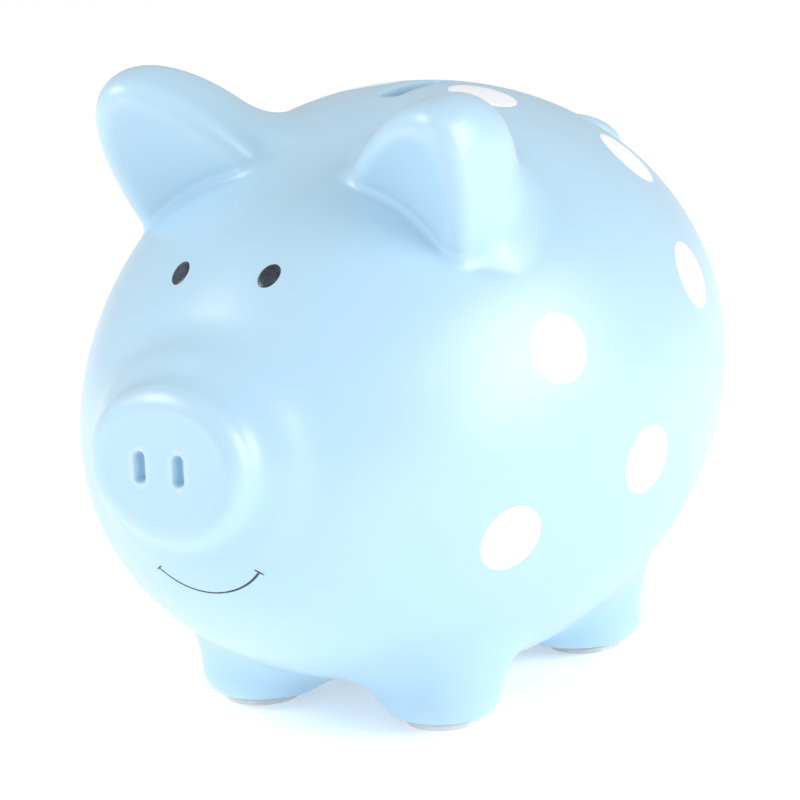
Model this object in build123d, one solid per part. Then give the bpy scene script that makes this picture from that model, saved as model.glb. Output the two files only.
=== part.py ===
from build123d import *
import os
from copy import copy
from math import atan2, cos, degrees, radians, sin

# Piggy bank of slip-cast ceramic, glazed, with fired-on polka dots and a rubber plug under the belly.
# Millimetres. The pig faces -Y, its left flank is +X, and it stands on Z = 0 with X = 0 down its middle.
# Places along Y are measured from the body's widest section, behind the nose for minus. The finished
# pieces are then all moved together, so that the origin lies under the middle of the whole bank.

# body: an egg turned about a nearly level axis, nose end towards -Y
body_radius = 73.3
nose_length = 109.5
rump_length = 97.6
nose_roundness = 1.8       # exponent of the egg's outline: 2 is an ellipse, less is more pointed
rump_roundness = 1.88
belly_clearance = 2.7       # between the floor and the body's round section
nose_droop = 2.5            # degrees that the axis dips towards the nose
body_wall = 4.5
axis_height = body_radius + belly_clearance

# coin slot in the back
slot_length = 30.0
slot_width = 5.4
slot_place = 8.0            # behind the widest section

# plug and its seat in the belly
plug_hole_radius = 15.0
plug_clearance = 0.3
plug_depth = 9.0
plug_taper = 0.8
flange_width = 3.2
flange_thickness = 1.6
seat_gap = 0.15
seat_margin = 2.0           # flat ring of belly around the flange
seat_depth = 2.6            # how far the flat is cut into the belly's lowest point
tab_length = 12.0
tab_width = 3.0
tab_height = 1.6
tab_rounding = 1.4

# feet
leg_radius = 14.6
leg_toe_radius = 5.5
track_half = 26.3
front_leg_place = -35.5
rear_leg_place = 34.5
pad_radius = 9.3
pad_thickness = 1.7
pad_edge = 0.4

# snout: a soft bulge on the face, and a flat disc with the nostrils on it
snout_rise = 5.0            # above the body's middle
snout_reach = 5.0           # of the disc's front, past the tip of the egg
snout_length = 57.0         # from the disc's front to the hidden end inside the face
disc_step = 10.5            # from the bulge's front to the disc's front
bulge_margin = 4.5          # bulge outside the disc, all round
bulge_edge = 7.0
disc_width = 44.5
disc_height = 39.0
disc_edge = 4.5
snout_height = axis_height + snout_rise
disc_front = -(nose_length + snout_reach)
nostril_spread = 10.8
nostril_width = 2.5
nostril_height = 7.0
nostril_depth = 2.5

# ears: a fat egg each, cut off flat in front and dished
ear_place = -47.5           # along the body's axis, of the middle of the ear's front
ear_around = 26.9           # degrees down from the top
ear_sink = 16.2             # how deep inside the body that middle lies
ear_side = (0.845, -0.040, -0.533)      # across the ear, outwards and down
ear_face = (-0.240, -0.920, -0.310)     # way that the front looks
ear_half_width = 19.5
ear_reach = 51.0
ear_depth = 32.0
ear_cut = 0.10              # how far forward the flat front lies, as a share of the depth
ear_rim = 3.0               # width of the rim around the dish
ear_dish = 4.5
ear_rim_rounding = 2.4

# tail: a corkscrew that rises out of the rump
tail_radius = 3.8
tail_curl_radius = 7.4
tail_pitch = 8.5
tail_height = 13.0
tail_place = 84.0           # along the body's axis
tail_sink = 2.5
tail_start = -60.0          # degrees round the curl where it leaves the rump

# painted face and dots, fired on as a thin layer
mark_thickness = 0.15
eye_width = 4.9
eye_height = 7.3
eye_behind_nose = 33.3      # along the body's axis, from the tip of the egg
eye_around = 15.0           # degrees down from the top, before both are turned
eye_turn = -3.3             # degrees; the pair is painted a little towards the pig's right
mouth_shift = 4.1           # painted a little towards the pig's left
mouth_half_width = 13.7
mouth_below = 22.7          # corners of the mouth below the body's middle
mouth_drop = 7.0
mouth_stroke = 0.8
mouth_tick = 2.6
dot_radius = 8.8
# place of each dot on one flank: distance along the body's axis, and degrees down from the top
dots = {
    "shoulder": (-35.3, 69.7),
    "elbow": (-53.5, 108.5),
    "rib": (-10.3, 98.8),
    "hip": (29.1, 69.3),
    "rump": (39.0, 40.3),
    "back": (15.0, 13.2),
}

parts = {}


def egg_radius(along, grow=0.0):
    """Radius of the body's round section at a distance along its axis."""
    length = (nose_length if along < 0 else rump_length) + grow
    power = nose_roundness if along < 0 else rump_roundness
    return (body_radius + grow) * max(0.0, 1 - (abs(along) / length) ** power) ** (1 / power)


def egg_slope(along):
    """Angle, in degrees, that the surface's outward direction leans along the axis."""
    length = nose_length if along < 0 else rump_length
    power = nose_roundness if along < 0 else rump_roundness
    lengthwise = abs(along) ** (power - 1) / length ** power
    outwards = egg_radius(along) ** (power - 1) / body_radius ** power
    return degrees(atan2(lengthwise, outwards)) * (-1 if along < 0 else 1)


def on_body(shape):
    """Tip a shape made about the Y axis and lift it to the body's place."""
    return Pos(0, 0, axis_height) * Rot(nose_droop, 0, 0) * shape


def egg_outline(grow=0.0):
    """Outline of the body from the tip of its nose to its rump, larger by grow all over."""
    halves = []
    for end, length, power in ((-1, nose_length, nose_roundness), (1, rump_length, rump_roundness)):
        reach, radius = end * (length + grow), body_radius + grow
        fullness = (8 * 0.5 ** (1 / power) - 4) / 3
        halves.append(Bezier((0, reach, 0), (0, reach, fullness * radius), (0, fullness * reach, radius),
                             (0, 0, radius)))
    return halves


def egg(grow=0.0):
    """The body's form as one solid, larger by grow all over."""
    nose, rump = egg_outline(grow)
    half = make_face([nose, rump, Line(nose @ 0, rump @ 0)])
    return on_body(revolve(half, axis=Axis.Y))


def egg_shell():
    """The body's wall, closed all round."""
    outside = egg_outline()
    inside = egg_outline(-body_wall)
    ends = [Line(outer_half @ 0, inner_half @ 0) for outer_half, inner_half in zip(outside, inside)]
    return on_body(revolve(make_face(outside + inside + ends), axis=Axis.Y))


def facing(along, around):
    """Frame on the body's surface, its Z axis pointing straight out of it."""
    spin = Rot(0, around, 0) * Pos(0, along, egg_radius(along)) * Rot(-egg_slope(along), 0, 0)
    return Pos(0, 0, axis_height) * Rot(nose_droop, 0, 0) * spin


def belly_drop(along):
    """How far the underside lies below the middle of the body."""
    return egg_radius(along) * cos(radians(nose_droop)) - along * sin(radians(nose_droop))


outer = egg()
painted = egg(mark_thickness)

# the plug sits where the belly is lowest
lowest_along = max(range(-30, 31), key=belly_drop)
belly_place = lowest_along * cos(radians(nose_droop)) + egg_radius(lowest_along) * sin(radians(nose_droop))
seat_height = axis_height - belly_drop(lowest_along) + seat_depth
flange_radius = plug_hole_radius + flange_width
flange_top = seat_height - seat_gap


def make_body():
    """The shell, with a flat round seat and a hole under the belly and a slot through the back."""
    seat = Cylinder(flange_radius + seat_margin, seat_height, align=(Align.CENTER, Align.CENTER, Align.MAX))
    hole = Cylinder(plug_hole_radius, axis_height)
    slot = extrude(Rot(0, 0, 90) * SlotOverall(slot_length, slot_width), axis_height)
    return (egg_shell() - Pos(0, belly_place, seat_height) * (seat + hole)
            - Pos(0, slot_place, axis_height) * slot)


def make_plug():
    """Flange under the belly, tapered plug up through the hole, and a tab to pull it by."""
    down = (Align.CENTER, Align.CENTER, Align.MAX)
    flange = Cylinder(flange_radius, flange_thickness, align=down)
    flange = fillet(flange.edges().group_by(Axis.Z)[0], flange_thickness / 2)
    foot_radius = plug_hole_radius - plug_clearance
    stem = Cone(foot_radius, foot_radius - plug_taper, plug_depth, align=(Align.CENTER, Align.CENTER, Align.MIN))
    stem = fillet(stem.edges().group_by(Axis.Z)[-1], plug_taper)
    tab = Pos(0, 0, -flange_thickness) * Box(tab_width, tab_length, tab_height, align=down)
    tab = fillet(tab.edges().filter_by(Axis.Z), tab_rounding)
    return Pos(0, belly_place, flange_top) * (flange + stem + tab)


def make_leg(side, place):
    """Round stub from its pad up to the body, which cuts its top."""
    height = axis_height - pad_thickness
    stub = Cylinder(leg_radius, height, align=(Align.CENTER, Align.CENTER, Align.MIN))
    stub = fillet(stub.edges().group_by(Axis.Z)[0], leg_toe_radius)
    return Pos(side * track_half, place, pad_thickness) * stub - outer


def make_pad(side, place):
    pad = Cylinder(pad_radius, pad_thickness, align=(Align.CENTER, Align.CENTER, Align.MIN))
    pad = fillet(pad.edges().group_by(Axis.Z)[0], pad_edge)
    return Pos(side * track_half, place, 0) * pad


def snout_face(front):
    """Frame on the snout at a distance to the front, looking the way the pig looks."""
    return Plane(origin=(0, front, snout_height), x_dir=(1, 0, 0), z_dir=(0, -1, 0))


def snout_block(margin, step, edge):
    """Oval block with a rounded front edge, larger than the disc and behind its front."""
    oval = Ellipse(disc_width / 2 + margin, disc_height / 2 + margin)
    block = extrude(snout_face(disc_front + step) * oval, step - snout_length)
    return fillet(block.edges().sort_by(Axis.Y)[0], edge)


def make_snout():
    """Disc on its bulge, with two nostrils pressed into the disc."""
    snout = snout_block(bulge_margin, disc_step, bulge_edge) + snout_block(0, 0, disc_edge) - outer
    for side in (-1, 1):
        nostril = Pos(side * nostril_spread / 2, 0) * Rot(0, 0, 90) * SlotOverall(nostril_height, nostril_width)
        snout -= extrude(snout_face(disc_front) * nostril, -nostril_depth)
    return snout


def make_ear(side):
    """A fat egg cut off in front and dished, rooted on the body."""
    cut = ear_cut * ear_depth
    front = (1 - ear_cut ** 2) ** 0.5
    whole = Pos(0, 0, -cut) * scale(Sphere(1), by=(ear_half_width, ear_reach, ear_depth))
    back = split(whole, bisect_by=Plane.XY, keep=Keep.BOTTOM)
    back = fillet(back.edges().sort_by_distance((0, ear_reach, 0))[0], ear_rim_rounding)
    dish = scale(Sphere(1), by=(ear_half_width * front - ear_rim, ear_reach * front - ear_rim, ear_dish))
    root = facing(ear_place, ear_around) * Pos(0, 0, -ear_sink)
    face = Plane(origin=root.position, x_dir=ear_side, z_dir=ear_face)
    left = Location(face) * (back - dish) - outer
    return left if side > 0 else mirror(left, about=Plane.YZ)


def make_tail():
    """A round-tipped corkscrew that starts inside the rump."""
    path = Helix(pitch=tail_pitch, height=tail_height, radius=tail_curl_radius)
    curl = sweep(Plane(origin=path @ 0, z_dir=path % 0) * Circle(tail_radius), path=path)
    tip = Pos(path @ 1) * Sphere(tail_radius)
    return facing(tail_place, 0) * Pos(0, 0, -tail_sink) * Rot(0, 0, tail_start) * (curl + tip) - outer


def mark(shape):
    """The part of the thin painted layer that a shape covers."""
    return (painted & shape) - outer


def make_dot(along, around):
    return mark(facing(along, around) * Cylinder(dot_radius, dot_radius))


def make_eye(side):
    oval = extrude(Ellipse(eye_width / 2, eye_height / 2), eye_height, both=True)
    return mark(facing(eye_behind_nose - nose_length, side * eye_around + eye_turn) * oval)


def make_mouth():
    """A thin smile with a short tick across each end, drawn from in front."""
    corner = mouth_half_width
    smile = ThreePointArc((-corner, 0), (0, -mouth_drop), (corner, 0))
    stroke = trace(smile, mouth_stroke)
    rise = mouth_tick / 2
    for side in (-1, 1):
        out = side * rise
        stroke += trace(Line((side * corner - out, rise), (side * corner + out, -rise)), mouth_stroke)
    corner_height = axis_height - mouth_below
    front = Plane(origin=(mouth_shift, -nose_length, corner_height), x_dir=(1, 0, 0), z_dir=(0, -1, 0))
    return mark(extrude(front * stroke, -nose_length))


def add(name, shape):
    parts[name] = shape


add("body_shell", make_body())
add("snout", make_snout())
add("belly_plug", make_plug())
add("tail", make_tail())
add("mouth", make_mouth())
for side, hand in ((1, "left"), (-1, "right")):
    add(f"{hand}_ear", make_ear(side))
    add(f"{hand}_eye", make_eye(side))
    for end, place in (("front", front_leg_place), ("rear", rear_leg_place)):
        add(f"{end}_{hand}_leg", make_leg(side, place))
        add(f"{end}_{hand}_foot_pad", make_pad(side, place))
    for spot, (along, around) in dots.items():
        add(f"{hand}_{spot}_dot", make_dot(along, side * around))

whole = Compound(children=[copy(shape) for shape in parts.values()]).bounding_box()
middle = -(whole.min.Y + whole.max.Y) / 2

os.makedirs("parts", exist_ok=True)
for name, shape in parts.items():
    piece = Pos(0, middle, 0) * shape
    piece.label = name
    export_step(piece, f"parts/{name}.step")
    print(name, len(piece.solids()), round(piece.volume, 1))
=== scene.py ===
from math import asin, atan2, cos, pi, radians, sin, tau

import bmesh
import bpy
import numpy as np
from mathutils import Matrix, Vector


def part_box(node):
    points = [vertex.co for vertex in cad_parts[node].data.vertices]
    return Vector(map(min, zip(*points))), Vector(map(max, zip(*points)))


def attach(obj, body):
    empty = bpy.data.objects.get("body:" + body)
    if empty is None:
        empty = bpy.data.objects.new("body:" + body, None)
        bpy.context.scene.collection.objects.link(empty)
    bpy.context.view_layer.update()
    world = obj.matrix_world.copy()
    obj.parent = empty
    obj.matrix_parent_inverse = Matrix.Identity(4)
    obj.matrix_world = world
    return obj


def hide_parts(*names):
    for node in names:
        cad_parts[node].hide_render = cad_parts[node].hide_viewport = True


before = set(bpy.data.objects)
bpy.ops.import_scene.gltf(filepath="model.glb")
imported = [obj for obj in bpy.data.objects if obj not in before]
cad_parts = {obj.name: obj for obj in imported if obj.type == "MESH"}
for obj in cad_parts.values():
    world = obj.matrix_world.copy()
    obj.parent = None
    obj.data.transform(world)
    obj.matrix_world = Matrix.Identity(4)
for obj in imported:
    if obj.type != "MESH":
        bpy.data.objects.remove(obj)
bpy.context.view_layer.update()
mm = 0.001
tiny = 1e-9
print("frame loaded", len(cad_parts), "nodes")

# Piggy bank: slip-cast body with stuck-on snout, ears, legs and tail, glazed over as one,
# with fired-on dots and face, a rubber plug in the belly and a pad under each foot.

# Camera and light: soft boxes over the face, beside the left flank and in front, in a white room.

camera = {"target": (-4.21 * mm, 8.06 * mm, 69.7 * mm), "azimuth": radians(32.0), "elevation": radians(14.4),
          "roll": radians(2.6), "distance": 1.5, "lens": 270.0}
lights = {
    "keySoftbox": {"at": (-0.72, -0.66, 1.05), "size": (0.65, 0.65), "watts": 8.0},
    "flankSoftbox": {"at": (1.15, 0.24, 0.48), "size": (0.75, 0.85), "watts": 10.0},
    "frontSoftbox": {"at": (-0.30, -1.6, 0.22), "size": (0.8, 0.6), "watts": 4.0},
}
surround = {"colour": (1.0, 1.0, 1.0), "strength": 0.54}
lightsAim = (0, 0, 0.07)
floor = {"radius": 3.0, "colour": (0.97, 0.97, 0.97), "roughness": 0.6, "glow": 0.30}


def aimed(at, target):
    # frame whose -Z axis looks at the target, and the way back from there
    back = (Vector(at) - Vector(target)).normalized()
    right = Vector((0, 0, 1)).cross(back).normalized()
    up = back.cross(right)
    return Matrix((right, up, back)).transposed().to_4x4(), back


def placeCamera():
    cam = bpy.data.cameras.new("camera")
    cam.lens, cam.sensor_width = camera["lens"], 36.0
    cam.clip_start, cam.clip_end = 0.05, 20.0
    turn, lift, roll = camera["azimuth"], camera["elevation"], camera["roll"]
    back = Vector((sin(turn) * cos(lift), -cos(turn) * cos(lift), sin(lift)))
    target = Vector(camera["target"])
    place, back = aimed(target + back, target)
    place = place @ Matrix.Rotation(-roll, 4, "Z")
    place.translation = target + back * camera["distance"]
    obj = bpy.data.objects.new("camera", cam)
    bpy.context.collection.objects.link(obj)
    obj.matrix_world = place
    bpy.context.scene.camera = obj


def placeLights():
    for name, box in lights.items():
        lamp = bpy.data.lights.new(name, "AREA")
        lamp.shape, lamp.energy = "RECTANGLE", box["watts"]
        lamp.size, lamp.size_y = box["size"]
        obj = bpy.data.objects.new(name, lamp)
        bpy.context.collection.objects.link(obj)
        place = aimed(box["at"], lightsAim)[0]
        place.translation = Vector(box["at"])
        obj.matrix_world = place
    world = bpy.data.worlds.new("surround")
    world.use_nodes = True
    sky = world.node_tree.nodes["Background"]
    sky.inputs["Color"].default_value = (*surround["colour"], 1)
    sky.inputs["Strength"].default_value = surround["strength"]
    bpy.context.scene.world = world
    bpy.context.scene.view_settings.view_transform = "Standard"


placeCamera()
placeLights()

# Materials, each with its own colours, roughness and fine relief.


class Nodes:
    # a short way to wire one material
    def __init__(self, name):
        self.material = bpy.data.materials.new(name)
        self.material.use_nodes = True
        self.tree = self.material.node_tree
        self.shader = self.tree.nodes["Principled BSDF"]

    def add(self, kind, settings=None, **inputs):
        node = self.tree.nodes.new(kind)
        for key, value in (settings or {}).items():
            setattr(node, key, value)
        for key, value in inputs.items():
            self.feed(node, key.replace("_", " "), value)
        return node

    def feed(self, node, socket, value):
        if isinstance(value, bpy.types.NodeSocket):
            self.tree.links.new(value, node.inputs[socket])
        else:
            node.inputs[socket].default_value = value

    def shade(self, **inputs):
        for key, value in inputs.items():
            self.feed(self.shader, key.replace("_", " "), value)

    def noise(self, place, scale, detail=3.0, roughness=0.5):
        node = self.add("ShaderNodeTexNoise", Vector=place, Scale=scale, Detail=detail, Roughness=roughness)
        return node.outputs["Fac"]

    def spread(self, value, low, high, toLow, toHigh):
        node = self.add("ShaderNodeMapRange", {"clamp": True}, Value=value)
        for socket, number in zip(("From Min", "From Max", "To Min", "To Max"), (low, high, toLow, toHigh)):
            node.inputs[socket].default_value = number
        return node.outputs["Result"]

    def mix(self, factor, first, second, blend="MIX"):
        node = self.add("ShaderNodeMix", {"data_type": "RGBA", "blend_type": blend})
        self.feed(node, 0, factor)
        self.feed(node, 6, first)
        self.feed(node, 7, second)
        return node.outputs[2]

    def bump(self, height, distance, strength, under=None):
        node = self.add("ShaderNodeBump", Height=height, Distance=distance, Strength=strength)
        if under is not None:
            self.feed(node, "Normal", under)
        return node.outputs["Normal"]


# deepBlueAndShade is a deeper blue used for random tone and pinholes, and also as painted shade in the creases
glaze = {"blue": (0.44, 0.66, 0.82, 1), "deepBlueAndShade": (0.25, 0.48, 0.68, 1), "thin": (0.60, 0.77, 0.88, 1),
         "roughness": (0.30, 0.42), "ripple": 0.06 * mm, "speckle": 0.012 * mm}


def makeGlaze():
    n = Nodes("blueGlaze")
    place = n.add("ShaderNodeTexCoord").outputs["Object"]
    curve = n.add("ShaderNodeAttribute", {"attribute_name": "bend"}).outputs["Fac"]
    cloud = n.noise(place, 22.0, 2.0)
    colour = n.mix(n.spread(cloud, 0.35, 0.7, 0.0, 0.10), glaze["blue"], glaze["deepBlueAndShade"])
    # painted shade: darker blue where the surface curves into creases
    colour = n.mix(n.spread(curve, -0.04, -0.45, 0.0, 0.35), colour, glaze["deepBlueAndShade"])
    # lighter blue on the sharper edges
    colour = n.mix(n.spread(curve, 0.05, 0.40, 0.0, 0.35), colour, glaze["thin"])
    pits = n.add("ShaderNodeTexVoronoi", Vector=place, Scale=160.0).outputs["Distance"]
    pinhole = n.spread(pits, 0.02, 0.06, 1.0, 0.0)
    colour = n.mix(n.spread(pinhole, 0.0, 1.0, 0.0, 0.12), colour, glaze["deepBlueAndShade"])
    fine = n.noise(place, 900.0, 2.0)
    ripple = n.noise(place, 70.0, 2.0, 0.4)
    rough = n.spread(n.noise(place, 45.0, 4.0), 0.3, 0.7, *glaze["roughness"])
    lumps = n.bump(ripple, glaze["ripple"], 0.5)
    lumps = n.bump(fine, glaze["speckle"], 0.35, lumps)
    n.shade(Base_Color=colour, Roughness=rough, Normal=lumps)
    n.shade(IOR=1.5, Coat_Weight=0.7, Coat_Roughness=0.34)
    return n.material


dotPaint = {"white": (0.93, 0.95, 0.96, 1), "shadow": (0.80, 0.88, 0.94, 1), "roughness": (0.36, 0.48)}


def makeDotPaint():
    n = Nodes("whiteDotPaint")
    place = n.add("ShaderNodeTexCoord").outputs["Object"]
    cloud = n.noise(place, 140.0, 3.0)
    colour = n.mix(n.spread(cloud, 0.3, 0.75, 0.0, 0.35), dotPaint["white"], dotPaint["shadow"])
    rough = n.spread(n.noise(place, 260.0), 0.3, 0.7, *dotPaint["roughness"])
    n.shade(Base_Color=colour, Roughness=rough, Normal=n.bump(n.noise(place, 500.0), 0.02 * mm, 0.4))
    n.shade(IOR=1.5, Coat_Weight=0.12, Coat_Roughness=0.25)
    return n.material


facePaint = {"dark": (0.010, 0.016, 0.026, 1), "worn": (0.035, 0.055, 0.085, 1), "roughness": (0.20, 0.36)}


def makeFacePaint():
    n = Nodes("darkFacePaint")
    place = n.add("ShaderNodeTexCoord").outputs["Object"]
    cloud = n.noise(place, 400.0, 3.0)
    colour = n.mix(n.spread(cloud, 0.4, 0.7, 0.0, 1.0), facePaint["dark"], facePaint["worn"])
    rough = n.spread(n.noise(place, 700.0), 0.3, 0.7, *facePaint["roughness"])
    n.shade(Base_Color=colour, Roughness=rough, Normal=n.bump(cloud, 0.03 * mm, 0.4))
    n.shade(IOR=1.5, Coat_Weight=0.2, Coat_Roughness=0.12)
    return n.material


plugRubber = {"milky": (0.70, 0.72, 0.72, 1), "grubby": (0.52, 0.52, 0.49, 1), "roughness": (0.48, 0.68)}


def makePlugRubber():
    n = Nodes("plugRubber")
    place = n.add("ShaderNodeTexCoord").outputs["Object"]
    dust = n.noise(place, 90.0, 5.0, 0.65)
    colour = n.mix(n.spread(dust, 0.45, 0.75, 0.0, 0.7), plugRubber["milky"], plugRubber["grubby"])
    rough = n.spread(n.noise(place, 300.0), 0.3, 0.7, *plugRubber["roughness"])
    grain = n.bump(n.noise(place, 1500.0, 2.0), 0.03 * mm, 0.5)
    n.shade(Base_Color=colour, Roughness=rough, Normal=grain)
    n.shade(IOR=1.45, Specular_IOR_Level=0.35)
    return n.material


padRubber = {"pale": (0.78, 0.79, 0.79, 1), "grey": (0.50, 0.51, 0.52, 1), "roughness": (0.55, 0.8)}


def makePadRubber():
    n = Nodes("padRubber")
    place = n.add("ShaderNodeTexCoord").outputs["Object"]
    dust = n.noise(place, 160.0, 5.0, 0.6)
    colour = n.mix(n.spread(dust, 0.4, 0.75, 0.0, 0.6), padRubber["pale"], padRubber["grey"])
    rough = n.spread(dust, 0.3, 0.7, *padRubber["roughness"])
    grain = n.bump(n.noise(place, 1200.0, 3.0), 0.05 * mm, 0.6)
    n.shade(Base_Color=colour, Roughness=rough, Normal=grain)
    return n.material


def makeFloorPaint():
    n = Nodes("floorPaint")
    place = n.add("ShaderNodeTexCoord").outputs["Object"]
    rough = n.spread(n.noise(place, 3.0), 0.3, 0.7, floor["roughness"], floor["roughness"] + 0.1)
    n.shade(Base_Color=(*floor["colour"], 1), Roughness=rough)
    n.shade(Emission_Color=(1, 1, 1, 1), Emission_Strength=floor["glow"])
    return n.material


blueGlaze, whiteDots, darkPaint = makeGlaze(), makeDotPaint(), makeFacePaint()
rubber, padding = makePlugRubber(), makePadRubber()
print("materials made")

# The clay form: how far a point lies outside each lump of clay, blended where lumps meet.

bodyLow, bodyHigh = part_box("body_shell")
body = {"radius": 73.3 * mm, "nose": 109.5 * mm, "rump": 97.6 * mm, "noseRound": 1.80, "rumpRound": 1.88,
        "droop": radians(2.5), "wall": 4.5 * mm}
middle = Vector((0, bodyLow.y + body["nose"] * cos(body["droop"]), bodyHigh.z - body["radius"]))

padLow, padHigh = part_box("front_left_foot_pad")
rearLow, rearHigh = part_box("rear_left_foot_pad")
leg = {"radius": 14.6 * mm, "toe": 6.0 * mm, "blend": 12 * mm, "track": (padLow.x + padHigh.x) / 2,
       "foot": padHigh.z, "places": ((padLow.y + padHigh.y) / 2, (rearLow.y + rearHigh.y) / 2)}

snout = {"front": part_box("snout")[0].y, "height": middle.z + 5.0 * mm,
         "disc": (22.25 * mm, 19.5 * mm, 0.0, 6.2 * mm), "bulge": (26.75 * mm, 24.0 * mm, 10.5 * mm, 7.5 * mm),
         "bulgeBlend": 8 * mm, "discBlend": 5 * mm,
         "nostrilSpread": 5.4 * mm, "nostrilLength": 4.2 * mm, "nostrilRadius": 1.75 * mm, "nostrilDepth": 2.8 * mm}

ear = {"along": -47.5 * mm, "around": radians(26.9), "sink": 16.2 * mm, "side": Vector((0.845, -0.040, -0.533)),
       "face": Vector((-0.240, -0.920, -0.310)), "size": (20.0 * mm, 50.1 * mm, 31.0 * mm), "cut": 6.5 * mm,
       "rim": 3.5 * mm, "dish": 2.2 * mm, "rimSoft": 6.0 * mm, "blend": (3.0 * mm, 10 * mm), "leftTall": 0.975}

slot = {"length": 30.0 * mm, "width": 5.4 * mm, "place": middle.y + 8.0 * mm, "soft": 1.3 * mm}

plugLow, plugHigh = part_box("belly_plug")
plug = {"hole": 15.0 * mm, "clearance": 0.3 * mm, "seatGap": 0.15 * mm, "tabHeight": 1.6 * mm, "flange": 1.6 * mm,
        "soft": 0.8 * mm, "place": (plugLow.y + plugHigh.y) / 2, "seatRadius": 20.2 * mm}
plug["flangeTop"] = plugLow.z + plug["tabHeight"] + plug["flange"]
plug["seat"] = plug["flangeTop"] + plug["seatGap"]


def softMin(a, b, blend):
    near = np.maximum(blend - np.abs(a - b), 0) / blend
    return np.minimum(a, b) - near * near * blend / 4


def softMax(a, b, blend):
    return -softMin(-a, -b, blend)


def roundedCorner(a, b, edge):
    return np.minimum(np.maximum(a, b), 0) + np.hypot(np.maximum(a, 0), np.maximum(b, 0)) - edge


def ovalGap(x, z, halfWidth, halfHeight):
    gauge = np.maximum(np.hypot(x / halfWidth, z / halfHeight), tiny)
    slope = np.hypot(x / halfWidth ** 2, z / halfHeight ** 2) / gauge
    return (gauge - 1) / np.maximum(slope, tiny)


def eggGap(p, gap=True):
    y, z = p[:, 1] - middle.y, p[:, 2] - middle.z
    along = y * cos(body["droop"]) + z * sin(body["droop"])
    across = np.maximum(np.hypot(p[:, 0], z * cos(body["droop"]) - y * sin(body["droop"])), tiny)
    length = np.where(along < 0, body["nose"], body["rump"])
    power = np.where(along < 0, body["noseRound"], body["rumpRound"])
    outward, onward = (across / body["radius"]) ** power, (np.abs(along) / length) ** power
    gauge = (outward + onward) ** (1 / power)
    if not gap:
        return gauge
    slope = gauge ** (1 - power) * np.hypot(outward / across, onward / np.maximum(np.abs(along), tiny))
    return (gauge - 1) / np.maximum(slope, tiny)


def legGap(p, place):
    out = np.hypot(np.abs(p[:, 0]) - leg["track"], p[:, 1] - place) - leg["radius"]
    stub = roundedCorner(out + leg["toe"], leg["foot"] - p[:, 2] + leg["toe"], leg["toe"])
    return np.maximum(stub, p[:, 2] - middle.z)


def blockGap(p, halfWidth, halfHeight, step, edge, dent=0.0):
    out = ovalGap(p[:, 0], p[:, 2] - snout["height"], halfWidth, halfHeight)
    block = roundedCorner(out + edge, snout["front"] + step + dent - p[:, 1] + edge, edge)
    return np.maximum(block, p[:, 1] - middle.y)


def nostrilDent(p):
    up = np.maximum(np.abs(p[:, 2] - snout["height"]) - (snout["nostrilLength"] - snout["nostrilRadius"]), 0)
    out = np.hypot(np.abs(p[:, 0]) - snout["nostrilSpread"], up) / snout["nostrilRadius"]
    fall = np.clip(1.05 - out, 0, 1)
    return snout["nostrilDepth"] * fall * fall * (3 - 2 * fall)


def onBody(along, around):
    # frame on the egg's surface, its Z axis straight out
    front = along < 0
    length, power = (body["nose"], body["noseRound"]) if front else (body["rump"], body["rumpRound"])
    radius = body["radius"] * (1 - (abs(along) / length) ** power) ** (1 / power)
    onward = abs(along) ** (power - 1) / length ** power
    outward = radius ** (power - 1) / body["radius"] ** power
    lean = atan2(onward, outward) * (-1 if front else 1)
    return (Matrix.Translation(middle) @ Matrix.Rotation(body["droop"], 4, "X") @ Matrix.Rotation(around, 4, "Y")
            @ Matrix.Translation((0, along, radius)) @ Matrix.Rotation(-lean, 4, "X"))


def earFrame():
    face = ear["face"].normalized()
    side = (ear["side"] - ear["side"].dot(face) * face).normalized()
    place = Matrix((side, face.cross(side), face)).transposed().to_4x4()
    place.translation = onBody(ear["along"], ear["around"]) @ Vector((0, 0, -ear["sink"]))
    return place


earPlace = earFrame()
earInside = np.array(earPlace.inverted())
earSize = np.array(ear["size"])


def ellipsoidGap(q, size):
    gauge = np.maximum(np.linalg.norm(q / size, axis=1), tiny)
    return gauge * (gauge - 1) / np.maximum(np.linalg.norm(q / size ** 2, axis=1), tiny)


def earInner(p):
    q = np.column_stack([np.abs(p[:, 0]), p[:, 1], p[:, 2]]) @ earInside[:3, :3].T + earInside[:3, 3]
    q[:, 1] /= np.where(p[:, 0] > 0, ear["leftTall"], 1.0)     # the left ear came out a little shorter
    return q


def earGap(q):
    lump = ellipsoidGap(q + np.array([0, 0, ear["cut"]]), earSize)
    reach = np.hypot(q[:, 0] / (ear["size"][0] - ear["rim"]), q[:, 1] / (ear["size"][1] - ear["rim"]))
    dish = ear["dish"] * np.maximum(1 - reach ** 2, 0) ** 1.4
    return softMax(lump, q[:, 2] + dish, ear["rimSoft"])


def earBlend(p, gap):
    # tighter where the front meets the forehead, soft behind
    q = earInner(p)
    share = np.clip((-q[:, 2] - 3 * mm) / (12 * mm), 0, 1)
    blend = ear["blend"][0] + (ear["blend"][1] - ear["blend"][0]) * share * share * (3 - 2 * share)
    return softMin(gap, earGap(q), blend)


def clayGap(p):
    gap = eggGap(p)
    for place in leg["places"]:
        gap = softMin(gap, legGap(p, place), leg["blend"])
    gap = softMin(gap, blockGap(p, *snout["bulge"]), snout["bulgeBlend"])
    gap = softMin(gap, blockGap(p, *snout["disc"], nostrilDent(p)), snout["discBlend"])
    return earBlend(p, gap)


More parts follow.
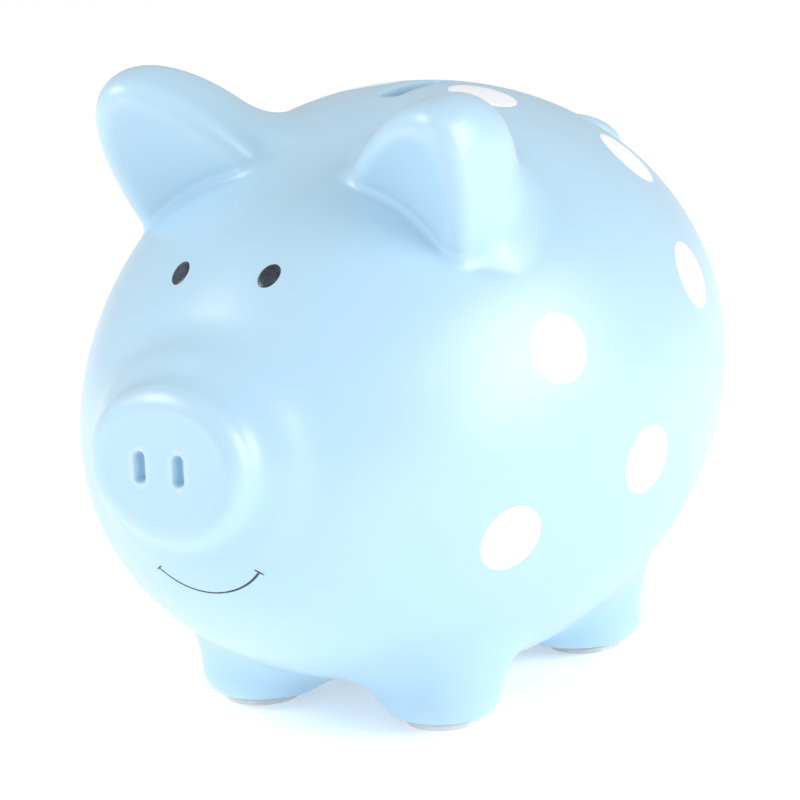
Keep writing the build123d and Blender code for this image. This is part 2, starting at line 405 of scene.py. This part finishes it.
def shellGap(p):
    gap = clayGap(p)
    along = np.maximum(np.abs(p[:, 1] - slot["place"]) - (slot["length"] - slot["width"]) / 2, 0)
    groove = np.maximum(np.hypot(p[:, 0], along) - slot["width"] / 2, middle.z - p[:, 2])
    gap = softMax(gap, -groove, slot["soft"])
    out = np.hypot(p[:, 0], p[:, 1] - plug["place"])
    gap = softMax(gap, -np.maximum(out - plug["seatRadius"], p[:, 2] - plug["seat"]), plug["soft"])
    gap = softMax(gap, -np.maximum(out - plug["hole"], p[:, 2] - middle.z), plug["soft"])
    return np.maximum(gap, -eggGap(p) - body["wall"])


def slopeOf(gapOf, p, step=0.15 * mm):
    slope = np.empty_like(p)
    for axis in range(3):
        shift = np.zeros(3)
        shift[axis] = step
        slope[:, axis] = (gapOf(p + shift) - gapOf(p - shift)) / (2 * step)
    return slope


def settle(p, gapOf, rounds=4, most=1.5 * mm):
    # moves points straight onto the clay's surface
    p = p.copy()
    for _ in range(rounds):
        slope = slopeOf(gapOf, p)
        move = slope * (gapOf(p) / np.maximum((slope ** 2).sum(axis=1), 0.05))[:, None]
        size = np.linalg.norm(move, axis=1)
        p -= move * np.minimum(1, most / np.maximum(size, tiny))[:, None]
    return p


def bendOf(p, step=1.6 * mm):
    # sum of the surface's two curvatures, in 1/mm: over 0 on edges, under 0 in creases
    total = -6 * clayGap(p)
    for axis in range(3):
        shift = np.zeros(3)
        shift[axis] = step
        total += clayGap(p + shift) + clayGap(p - shift)
    return total / step ** 2 * mm


def corners(bm):
    return np.array([v.co for v in bm.verts], float).reshape(-1, 3)


def moveCorners(bm, places):
    for vert, place in zip(bm.verts, places):
        vert.co = place


# One skin over all the clay, finer where it bends more.

# each refining pass splits edges longer than the second value where the bend is over the first, in 1/mm
skin = {"voxel": 1.5 * mm, "passes": ((0.09, 0.95 * mm), (0.20, 0.6 * mm), (0.45, 0.38 * mm))}


def joined(base, tools, operation):
    # joins or cuts one solid with others
    objects = []
    for number, bm in enumerate([base, *tools]):
        mesh = bpy.data.meshes.new(f"solid{number}")
        bm.to_mesh(mesh)
        bm.free()
        objects.append(bpy.data.objects.new(f"solid{number}", mesh))
        bpy.context.collection.objects.link(objects[-1])
        if number:
            mod = objects[0].modifiers.new(f"step{number}", "BOOLEAN")
            mod.operation, mod.solver, mod.object = operation, "EXACT", objects[-1]
    out = bmesh.new()
    out.from_mesh(bpy.data.meshes.new_from_object(objects[0].evaluated_get(bpy.context.evaluated_depsgraph_get())))
    for obj in objects:
        bpy.data.objects.remove(obj)
    return out


def eggForm(inside=0.0):
    # the body's egg, smaller all over by inside
    bm = bmesh.new()
    egg = bmesh.ops.create_uvsphere(bm, u_segments=96, v_segments=64, radius=body["radius"])["verts"]
    gauge = eggGap(np.array([v.co + middle for v in egg], float), gap=False)
    places = np.array([v.co / size + middle for v, size in zip(egg, gauge)], float)
    moveCorners(bm, settle(places, lambda p: eggGap(p) + inside, 6, 5 * mm))
    return bm


def legForms():
    bm = bmesh.new()
    height = middle.z - leg["foot"]
    for place in leg["places"]:
        for side in (-1, 1):
            stub = bmesh.ops.create_cone(bm, cap_ends=True, segments=48, radius1=leg["radius"] * 0.85,
                                         radius2=leg["radius"], depth=height)
            bmesh.ops.translate(bm, verts=stub["verts"], vec=(side * leg["track"], place, leg["foot"] + height / 2))
    return bm


def blockForm(halfWidth, halfHeight, step, edge):
    bm = bmesh.new()
    bmesh.ops.create_cone(bm, cap_ends=True, segments=64, radius1=1, radius2=1, depth=1)
    depth = 50 * mm
    bmesh.ops.transform(bm, verts=bm.verts, matrix=Matrix.Translation(
        (0, snout["front"] + step + edge / 4 + depth / 2, snout["height"]))
        @ Matrix.Diagonal((halfWidth - edge / 3, depth, halfHeight - edge / 3, 1)) @ Matrix.Rotation(pi / 2, 4, "X"))
    return bm


def earForm(side):
    bm = bmesh.new()
    bmesh.ops.create_uvsphere(bm, u_segments=48, v_segments=32, radius=1)
    lump = Matrix.Translation((0, 0, -ear["cut"])) @ Matrix.Diagonal((*ear["size"], 1))
    bmesh.ops.transform(bm, verts=bm.verts, matrix=lump)
    bmesh.ops.bisect_plane(bm, geom=[*bm.verts, *bm.edges, *bm.faces], plane_co=(0, 0, -ear["dish"] / 2),
                           plane_no=(0, 0, 1), clear_outer=True)
    bmesh.ops.holes_fill(bm, edges=[e for e in bm.edges if e.is_boundary], sides=0)
    bmesh.ops.transform(bm, verts=bm.verts, matrix=Matrix.Diagonal((side, 1, 1, 1)) @ earPlace)
    bmesh.ops.recalc_face_normals(bm, faces=bm.faces)
    return bm


def remeshed(bm):
    mesh = bpy.data.meshes.new("roughClay")
    bm.to_mesh(mesh)
    bm.free()
    obj = bpy.data.objects.new("roughClay", mesh)
    bpy.context.collection.objects.link(obj)
    mod = obj.modifiers.new("skin", "REMESH")
    mod.mode, mod.voxel_size, mod.adaptivity = "VOXEL", skin["voxel"], 0.0
    bm = bmesh.new()
    bm.from_mesh(bpy.data.meshes.new_from_object(obj.evaluated_get(bpy.context.evaluated_depsgraph_get())))
    bpy.data.objects.remove(obj)
    return bm


def refine(bm, bendLimit, longest):
    places = corners(bm)
    tight = np.abs(bendOf(places)) > bendLimit
    for vert, flag in zip(bm.verts, tight):
        vert.tag = bool(flag)
    edges = [e for e in bm.edges if (e.verts[0].tag or e.verts[1].tag) and e.calc_length() > longest]
    bmesh.ops.subdivide_edges(bm, edges=edges, cuts=1, use_grid_fill=True)
    bmesh.ops.triangulate(bm, faces=[f for f in bm.faces if len(f.verts) > 4])
    moveCorners(bm, settle(corners(bm), clayGap, 3, 0.8 * mm))


def makeSkin():
    lumps = [legForms(), blockForm(*snout["bulge"]), blockForm(*snout["disc"]), earForm(1), earForm(-1)]
    bm = remeshed(joined(eggForm(), lumps, "UNION"))
    moveCorners(bm, settle(corners(bm), clayGap, 3))
    for _ in range(3):
        bmesh.ops.smooth_vert(bm, verts=bm.verts, factor=0.5, use_axis_x=True, use_axis_y=True, use_axis_z=True)
        moveCorners(bm, settle(corners(bm), clayGap, 2))
    for bendLimit, longest in skin["passes"]:
        refine(bm, bendLimit, longest)
    return bm


clay = makeSkin()
print("clay skin made", len(clay.verts), "points")

# The skin parts along a plane behind each stuck-on piece.

# how far each piece's middle lies outside its plane or above the floor, and how far the piece reaches from it
parting = {"offset": 0.6 * mm, "leg": (12 * mm, 25 * mm), "ear": (15 * mm, 42 * mm), "snout": (8 * mm, 36 * mm),
           "snoutPoint": (0, snout["front"] + 14.5 * mm, snout["height"]), "snoutWay": (0, -0.964, 0.265)}


def cutPlanes():
    planes = {}
    for side, hand in ((1, "left"), (-1, "right")):
        for end, place in zip(("front", "rear"), leg["places"]):
            out, reach = parting["leg"]
            x = side * leg["track"]
            planes[f"{end}_{hand}_leg"] = tangentPlane((x, place, 0.0), (x, place, out), reach)
        out, reach = parting["ear"]
        root = onBody(ear["along"], side * ear["around"])
        planes[f"{hand}_ear"] = tangentPlane(root.translation, root @ Vector((0, 0, out)), reach)
    out, reach = parting["snout"]
    point, way = Vector(parting["snoutPoint"]), Vector(parting["snoutWay"]).normalized()
    planes["snout"] = (point, way, point + way * out, reach)
    return planes


def tangentPlane(start, centre, reach):
    # plane on the egg just under a piece, from a place near the piece's root
    point = settle(np.array([start], float), eggGap, 12, 20 * mm)
    way = slopeOf(eggGap, point)[0]
    way = Vector(way / np.linalg.norm(way))
    return Vector(point[0]) + way * parting["offset"], way, Vector(centre), reach


def partSkin(bm):
    # marks each face with the number of the piece it belongs to
    label = bm.faces.layers.int.new("piece")
    planes = cutPlanes()
    for number, (name, (point, way, centre, reach)) in enumerate(planes.items(), 1):
        region = [f for f in bm.faces if (f.calc_center_median() - centre).length < reach]
        edges = list({e for f in region for e in f.edges})
        verts = list({v for f in region for v in f.verts})
        bmesh.ops.bisect_plane(bm, geom=verts + edges + region, dist=1e-7, plane_co=point, plane_no=way)
        for face in bm.faces:
            spot = face.calc_center_median()
            if (spot - centre).length < reach + 3 * mm and (spot - point).dot(way) > 0:
                face[label] = number
    return ["body_shell", *planes]


def pieceOf(bm, number):
    # a closed copy of one piece of the skin, with a flat cap where it was parted
    part = bm.copy()
    label = part.faces.layers.int["piece"]
    bmesh.ops.delete(part, geom=[f for f in part.faces if f[label] != number], context="FACES")
    rims = [e for e in part.edges if e.is_boundary]
    caps = bmesh.ops.holes_fill(part, edges=rims, sides=0)["faces"]
    bmesh.ops.triangulate(part, faces=caps)
    return part


def glazed(mesh, gapOf):
    # shades by the clay's own slope, so that pieces meet without a line, and notes its creases and edges, which the
    # glaze colour uses for painted shade in creases and a lighter blue on edges
    count = len(mesh.loops)
    places = np.empty(len(mesh.vertices) * 3)
    mesh.vertices.foreach_get("co", places)
    places = places.reshape(-1, 3)
    bend = mesh.attributes.new("bend", "FLOAT", "POINT")
    bend.data.foreach_set("value", bendOf(places).astype(np.float32))
    loopVert = np.empty(count, int)
    mesh.loops.foreach_get("vertex_index", loopVert)
    faceCentre = np.empty(len(mesh.polygons) * 3)
    faceWay = np.empty(len(mesh.polygons) * 3)
    faceSize = np.empty(len(mesh.polygons), int)
    mesh.polygons.foreach_get("center", faceCentre)
    mesh.polygons.foreach_get("normal", faceWay)
    mesh.polygons.foreach_get("loop_total", faceSize)
    loopFace = np.repeat(np.arange(len(mesh.polygons)), faceSize)
    way = faceWay.reshape(-1, 3)[loopFace]
    spot = places[loopVert] * 0.9 + faceCentre.reshape(-1, 3)[loopFace] * 0.1
    slope = slopeOf(gapOf, spot, 0.1 * mm)
    slope /= np.maximum(np.linalg.norm(slope, axis=1), tiny)[:, None]
    smooth = ((slope * way).sum(axis=1) > 0.6) & (np.abs(gapOf(spot)) < 0.5 * mm)
    normals = np.where(smooth[:, None], slope, way)
    mesh.polygons.foreach_set("use_smooth", np.ones(len(mesh.polygons), bool))
    mesh.normals_split_custom_set(normals.tolist())
    return mesh


def finished(bm, name, material, nodes, rideOn="bank", gapOf=None):
    mesh = bpy.data.meshes.new(name)
    bmesh.ops.triangulate(bm, faces=[f for f in bm.faces if len(f.verts) > 4])
    bm.to_mesh(mesh)
    bm.free()
    if gapOf:
        glazed(mesh, gapOf)
    else:
        mesh.polygons.foreach_set("use_smooth", np.ones(len(mesh.polygons), bool))
    mesh.materials.append(material)
    obj = bpy.data.objects.new(name, mesh)
    bpy.context.collection.objects.link(obj)
    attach(obj, rideOn)
    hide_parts(*nodes)
    return obj


# The hollow body, with its slot and plug hole.

def surfaceHeight(x, y):
    # height of the egg's back over a place
    p = np.column_stack([x, y, np.full(len(x), middle.z + body["radius"])])
    for _ in range(6):
        p[:, 2] -= eggGap(p)
    return p[:, 2]


def slotCutter():
    # a long slot that widens at its rounded mouth, following the curve of the back
    bm = bmesh.new()
    bmesh.ops.create_circle(bm, segments=48, radius=slot["width"] / 2)
    straight = (slot["length"] - slot["width"]) / 2
    for vert in bm.verts:
        vert.co.y += straight if vert.co.y > 1e-6 else -straight
    bmesh.ops.subdivide_edges(bm, edges=[e for e in bm.edges if e.calc_length() > straight], cuts=20)
    bmesh.ops.translate(bm, verts=bm.verts, vec=(0, slot["place"], middle.z + 50 * mm))
    rounding = slot["soft"] * 0.6
    rings = [(-rounding * (1 - sin(radians(t))), rounding * (1 - cos(radians(t)))) for t in range(0, 76, 15)]
    rings.append((0.8 * mm, rounding * 3.5))
    ring = bm.edges[:]
    for rise, grow in rings:
        made = bmesh.ops.extrude_edge_only(bm, edges=ring)["geom"]
        ring = [g for g in made if isinstance(g, bmesh.types.BMEdge)]
        verts = [g for g in made if isinstance(g, bmesh.types.BMVert)]
        spots = np.array([v.co for v in verts], float)
        core = slot["place"] + np.clip(spots[:, 1] - slot["place"], -straight, straight)
        way = np.column_stack([spots[:, 0], spots[:, 1] - core])
        way *= ((slot["width"] / 2 + grow) / np.linalg.norm(way, axis=1))[:, None]
        heights = surfaceHeight(way[:, 0], core + way[:, 1]) + rise
        for vert, x, y, z in zip(verts, way[:, 0], core + way[:, 1], heights):
            vert.co = (x, y, z)
    made = bmesh.ops.extrude_edge_only(bm, edges=ring)["geom"]
    for vert in [g for g in made if isinstance(g, bmesh.types.BMVert)]:
        vert.co.z = middle.z + body["radius"] + 5 * mm
    bmesh.ops.holes_fill(bm, edges=[e for e in bm.edges if e.is_boundary], sides=0)
    bmesh.ops.recalc_face_normals(bm, faces=bm.faces)
    return bm


def spun(profile, steps, centre):
    # turns a profile of (radius, height) points about an upright axis
    bm = bmesh.new()
    verts = [bm.verts.new((radius, 0, height)) for radius, height in profile]
    edges = [bm.edges.new(pair) for pair in zip(verts, verts[1:])]
    bmesh.ops.spin(bm, geom=verts + edges, cent=(0, 0, 0), axis=(0, 0, 1), angle=tau, steps=steps, use_merge=True)
    bmesh.ops.remove_doubles(bm, verts=bm.verts, dist=1e-6)
    bmesh.ops.recalc_face_normals(bm, faces=bm.faces)
    bmesh.ops.translate(bm, verts=bm.verts, vec=centre)
    return bm


pieceNames = partSkin(clay)
# the cutter for the plug reaches past the belly's skin on both sides, and rounds the edge of the hole
seatRadius, seat, past = plug["seatRadius"] + 1 * mm, plug["seat"], 20 * mm
rounding = plug["soft"] * 0.6
seatProfile = [(0, seat - past), (seatRadius, seat - past), (seatRadius, seat), (plug["hole"] + rounding, seat),
               (plug["hole"] + rounding * 0.3, seat + rounding * 0.3), (plug["hole"], seat + rounding),
               (plug["hole"], seat + past), (0, seat + past)]
cutters = [eggForm(body["wall"]), slotCutter(), spun(seatProfile, 96, (0, plug["place"], 0))]
shell = joined(pieceOf(clay, 0), cutters, "DIFFERENCE")
finished(shell, "bodyShell", blueGlaze, ["body_shell"], gapOf=shellGap)
print("body hollowed")

for number, name in enumerate(pieceNames[1:], 1):
    words = name.split("_")
    title = words[0] + "".join(word.title() for word in words[1:])
    finished(pieceOf(clay, number), title, blueGlaze, [name], gapOf=clayGap)
print("snout, ears and legs parted")

# The tail, a tube of clay rolled up and stuck on the rump.

tail = {"along": 84.0 * mm, "sink": 2.5 * mm, "radius": 3.8 * mm, "curl": 7.4 * mm, "pitch": 8.5 * mm,
        "rise": 13.0 * mm, "start": radians(-60.0), "tip": 4.5 * mm, "root": 1.45, "taper": 0.18,
        "crowd": 1.6, "points": 90}


def makeTail():
    place = onBody(tail["along"], 0) @ Matrix.Translation((0, 0, -tail["sink"]))
    place = place @ Matrix.Rotation(tail["start"], 4, "Z")
    turns = tail["rise"] / tail["pitch"]
    length = tau * turns * tail["curl"] + tail["tip"]
    line = bpy.data.curves.new("tailLine", "CURVE")
    line.dimensions, line.bevel_depth, line.bevel_resolution, line.use_fill_caps = "3D", 1.0, 10, True
    spline = line.splines.new("POLY")
    spline.points.add(tail["points"])
    for step, point in enumerate(spline.points):
        share = 1 - (1 - step / tail["points"]) ** tail["crowd"]      # points crowd towards the tip
        turn = tau * turns * share * length / (length - tail["tip"] * 0.55)
        spot = place @ Vector((tail["curl"] * cos(turn), tail["curl"] * sin(turn), tail["pitch"] * turn / tau))
        point.co = (*spot, 1)
        left = min((1 - share) * length / tail["tip"], 1)
        thin = 1 - tail["taper"] * share
        flare = 1 + (tail["root"] - 1) * max(0, 1 - share * 4) ** 2
        point.radius = tail["radius"] * thin * flare * max(1 - (1 - left) ** 2, 0.0004) ** 0.5
    obj = bpy.data.objects.new("tailLine", line)
    bpy.context.collection.objects.link(obj)
    bm = bmesh.new()
    bm.from_mesh(bpy.data.meshes.new_from_object(obj.evaluated_get(bpy.context.evaluated_depsgraph_get())))
    bpy.data.objects.remove(obj)
    bmesh.ops.remove_doubles(bm, verts=bm.verts, dist=1e-6)
    bmesh.ops.recalc_face_normals(bm, faces=bm.faces)
    return bm


finished(joined(makeTail(), [eggForm(1.0 * mm)], "DIFFERENCE"), "tail", blueGlaze, ["tail"])
print("tail rolled")

# Painted dots, eyes and mouth, each a thin layer that follows the clay.

layer = {"thick": 0.12 * mm, "rim": 0.02 * mm, "under": 0.35 * mm}


def painted(bm, name, material, node):
    # lays a flat patch of mesh on the clay and closes it underneath
    top = settle(corners(bm), clayGap, 8, 3 * mm)
    slope = slopeOf(clayGap, top)
    slope /= np.linalg.norm(slope, axis=1)[:, None]
    rim = np.array([v.is_boundary for v in bm.verts])
    lift = np.where(rim, layer["rim"], layer["thick"])
    moveCorners(bm, top + slope * lift[:, None])
    bm.verts.index_update()
    made = bmesh.ops.extrude_face_region(bm, geom=list(bm.faces))["geom"]
    lowered = [g for g in made if isinstance(g, bmesh.types.BMVert)]
    under = settle(np.array([v.co for v in lowered], float), lambda p: clayGap(p) + layer["under"], 3)
    for vert, spot in zip(lowered, under):
        vert.co = spot
    bmesh.ops.recalc_face_normals(bm, faces=bm.faces)
    return finished(bm, name, material, [node])


def ovalPatch(place, halfWidth, halfHeight, rings, segments):
    # a flat oval with a narrow outer ring, where the paint thins out
    bm = bmesh.new()
    bmesh.ops.create_circle(bm, cap_ends=True, segments=segments, radius=1)
    face = bm.faces[:]
    bmesh.ops.inset_region(bm, faces=face, thickness=0.03, use_boundary=True, use_even_offset=True)
    for _ in range(rings):
        bmesh.ops.inset_region(bm, faces=face, thickness=0.9 / rings, use_boundary=True, use_even_offset=True)
    bmesh.ops.poke(bm, faces=[f for f in bm.faces if len(f.verts) > 4])
    bmesh.ops.transform(bm, verts=bm.verts, matrix=place @ Matrix.Diagonal((halfWidth, halfHeight, 1, 1)))
    return bm


dotRadius = 8.8 * mm
dots = {"shoulder": (-35.3, 69.7), "elbow": (-53.5, 108.5), "rib": (-10.3, 98.8), "hip": (29.1, 69.3),
        "rump": (39.0, 40.3), "back": (15.0, 13.2)}      # mm along the body, degrees round from the top
eye = {"halfWidth": 2.45 * mm, "halfHeight": 3.65 * mm, "along": -76.2 * mm, "around": radians(15.0),
       "turn": radians(-3.3)}

for side, hand in ((1, "left"), (-1, "right")):
    for spot, (along, around) in dots.items():
        patch = ovalPatch(onBody(along * mm, side * radians(around)), dotRadius, dotRadius, 6, 72)
        painted(patch, f"{hand}{spot.title()}Dot", whiteDots, f"{hand}_{spot}_dot")
    place = onBody(eye["along"], side * eye["around"] + eye["turn"])
    patch = ovalPatch(place, eye["halfWidth"], eye["halfHeight"], 4, 48)
    painted(patch, f"{hand}Eye", darkPaint, f"{hand}_eye")

mouth = {"shift": 4.1 * mm, "halfWidth": 13.7 * mm, "height": middle.z - 22.7 * mm, "drop": 7.0 * mm,
         "stroke": (0.22 * mm, 0.42 * mm), "tick": 2.6 * mm}


def strokePatch(bm, line, widths, steps):
    # a brush stroke along a line of (x, height), its half width going from one value to the other
    start = len(bm.verts)
    bmesh.ops.create_grid(bm, x_segments=steps, y_segments=4, size=1)
    bm.verts.ensure_lookup_table()
    for vert in bm.verts[start:]:
        share = (vert.co.x + 1) / 2
        here, ahead = Vector(line(share)), Vector(line(share + 0.01)) - Vector(line(share - 0.01))
        across = Vector((-ahead.y, ahead.x)).normalized()
        end = min(share, 1 - share) * steps / 4
        width = (widths[0] + (widths[1] - widths[0]) * share) * (1 - (1 - min(end, 1)) ** 2) ** 0.5
        spot = here + across * max(width, 0.04 * mm) * vert.co.y
        vert.co = (spot.x, bodyLow.y + 8 * mm, spot.y)
    return bm


def smileLine(share):
    radius = (mouth["halfWidth"] ** 2 + mouth["drop"] ** 2) / (2 * mouth["drop"])
    turn = asin(mouth["halfWidth"] / radius) * (2 * share - 1)
    return mouth["shift"] + radius * sin(turn), mouth["height"] + radius - mouth["drop"] - radius * cos(turn)


def tickLine(side):
    # the short stroke across one end of the smile
    def line(share):
        return (mouth["shift"] + side * (mouth["halfWidth"] + mouth["tick"] * (share - 0.5)),
                mouth["height"] + mouth["tick"] * (0.5 - share))
    return line


lips = bmesh.new()
strokePatch(lips, smileLine, mouth["stroke"], 80)
for side in (-1, 1):
    strokePatch(lips, tickLine(side), (mouth["stroke"][0], mouth["stroke"][0]), 12)
painted(lips, "mouth", darkPaint, "mouth")
print("dots and face painted")

# Rubber plug and foot pads.

plugForm = {"stem": plug["hole"] - plug["clearance"], "taper": 0.8 * mm, "depth": plugHigh.z - plug["flangeTop"],
            "flangeRadius": (plugHigh.x - plugLow.x) / 2, "tab": (3.0 * mm, 12.0 * mm), "recess": 0.5 * mm,
            "recessEdge": (9.5 * mm, 10.2 * mm, 10.6 * mm), "hollowEdge": (11.0 * mm, 10.5 * mm, 10.2 * mm),
            "hollowFloor": 3.0 * mm, "groove": 0.3 * mm}


def makePlug():
    # a flange and a hollow tapered stem, with a recess and a pull tab underneath
    f, top, low = plugForm, plug["flangeTop"], plug["flangeTop"] - plug["flange"]
    edge, flange, stem, end = plug["flange"] / 2, f["flangeRadius"], f["stem"], top + f["depth"]
    inner, slope, outer = f["recessEdge"]
    profile = [(0, low + f["recess"]), (inner, low + f["recess"]), (slope, low + 0.1 * mm), (outer, low)]
    for degrees in range(0, 91, 15):
        turn = radians(degrees)
        profile.append((flange - edge + edge * sin(turn), low + edge - edge * cos(turn)))
    profile += [(flange, top - 0.1 * mm), (flange - 0.1 * mm, top), (stem - f["groove"], top),
                (stem - f["groove"], top + 1.2 * mm), (stem, top + 1.8 * mm),
                (stem - f["taper"] * 0.6, end - 1.2 * mm), (stem - f["taper"] * 1.2, end - 0.4 * mm),
                (stem - f["taper"] * 2, end)]
    outer, slope, inner = f["hollowEdge"]
    profile += [(outer, end), (slope, end - 0.5 * mm), (inner, top + f["hollowFloor"]), (0, top + f["hollowFloor"])]
    bm = spun(profile, 96, (0, plug["place"], 0))
    width, length = f["tab"]
    tab = bmesh.ops.create_cube(bm, size=1)["verts"]
    height = plug["tabHeight"] + f["recess"] + 0.3 * mm
    bmesh.ops.transform(bm, verts=tab, matrix=Matrix.Translation((0, plug["place"], plugLow.z + height / 2))
                        @ Matrix.Diagonal((width, length, height, 1)))
    upright = list({e for v in tab for e in v.link_edges if abs(e.verts[0].co.z - e.verts[1].co.z) > height / 2})
    rounded = bmesh.ops.bevel(bm, geom=upright, offset=1.35 * mm, affect="EDGES", segments=6,
                              profile=0.5, material=-1)
    lower = [e for f in rounded["faces"] for e in f.edges if all(abs(v.co.z - plugLow.z) < 1e-5 for v in e.verts)]
    ring = {f for e in lower for f in e.link_faces if abs(f.normal.z) > 0.9}
    bmesh.ops.bevel(bm, geom=list({e for f in ring for e in f.edges}), offset=0.4 * mm, affect="EDGES", segments=3,
                    profile=0.5, material=-1)
    return bm


obj = finished(makePlug(), "bellyPlug", rubber, ["belly_plug"], rideOn="plug")
obj.data.set_sharp_from_angle(angle=radians(40))


def padProfile(radius, height):
    # a disc with a worn lower edge and a small rounding on top
    return [(0, 0), (radius * 0.35, 0), (radius - 0.7 * mm, 0), (radius - 0.25 * mm, 0.12 * mm),
            (radius - 0.05 * mm, 0.4 * mm), (radius, 0.7 * mm), (radius, height - 0.5 * mm),
            (radius - 0.15 * mm, height - 0.15 * mm), (radius - 0.5 * mm, height), (0, height)]


for end in ("front", "rear"):
    for hand in ("left", "right"):
        node = f"{end}_{hand}_foot_pad"
        low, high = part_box(node)
        radius, centre = (high.x - low.x) / 2, (low + high) / 2
        pad = spun(padProfile(radius, leg["foot"]), 72, (centre.x, centre.y, low.z))
        piece = finished(pad, f"{end}{hand.title()}FootPad", padding, [node])
        piece.data.set_sharp_from_angle(angle=radians(50))
print("plug and pads made")

# Floor.

ground = bmesh.new()
bmesh.ops.create_circle(ground, cap_ends=True, segments=96, radius=floor["radius"])
groundMesh = bpy.data.meshes.new("floor")
ground.to_mesh(groundMesh)
ground.free()
groundMesh.materials.append(makeFloorPaint())
groundObj = bpy.data.objects.new("floor", groundMesh)
bpy.context.collection.objects.link(groundObj)

print("scene ready")
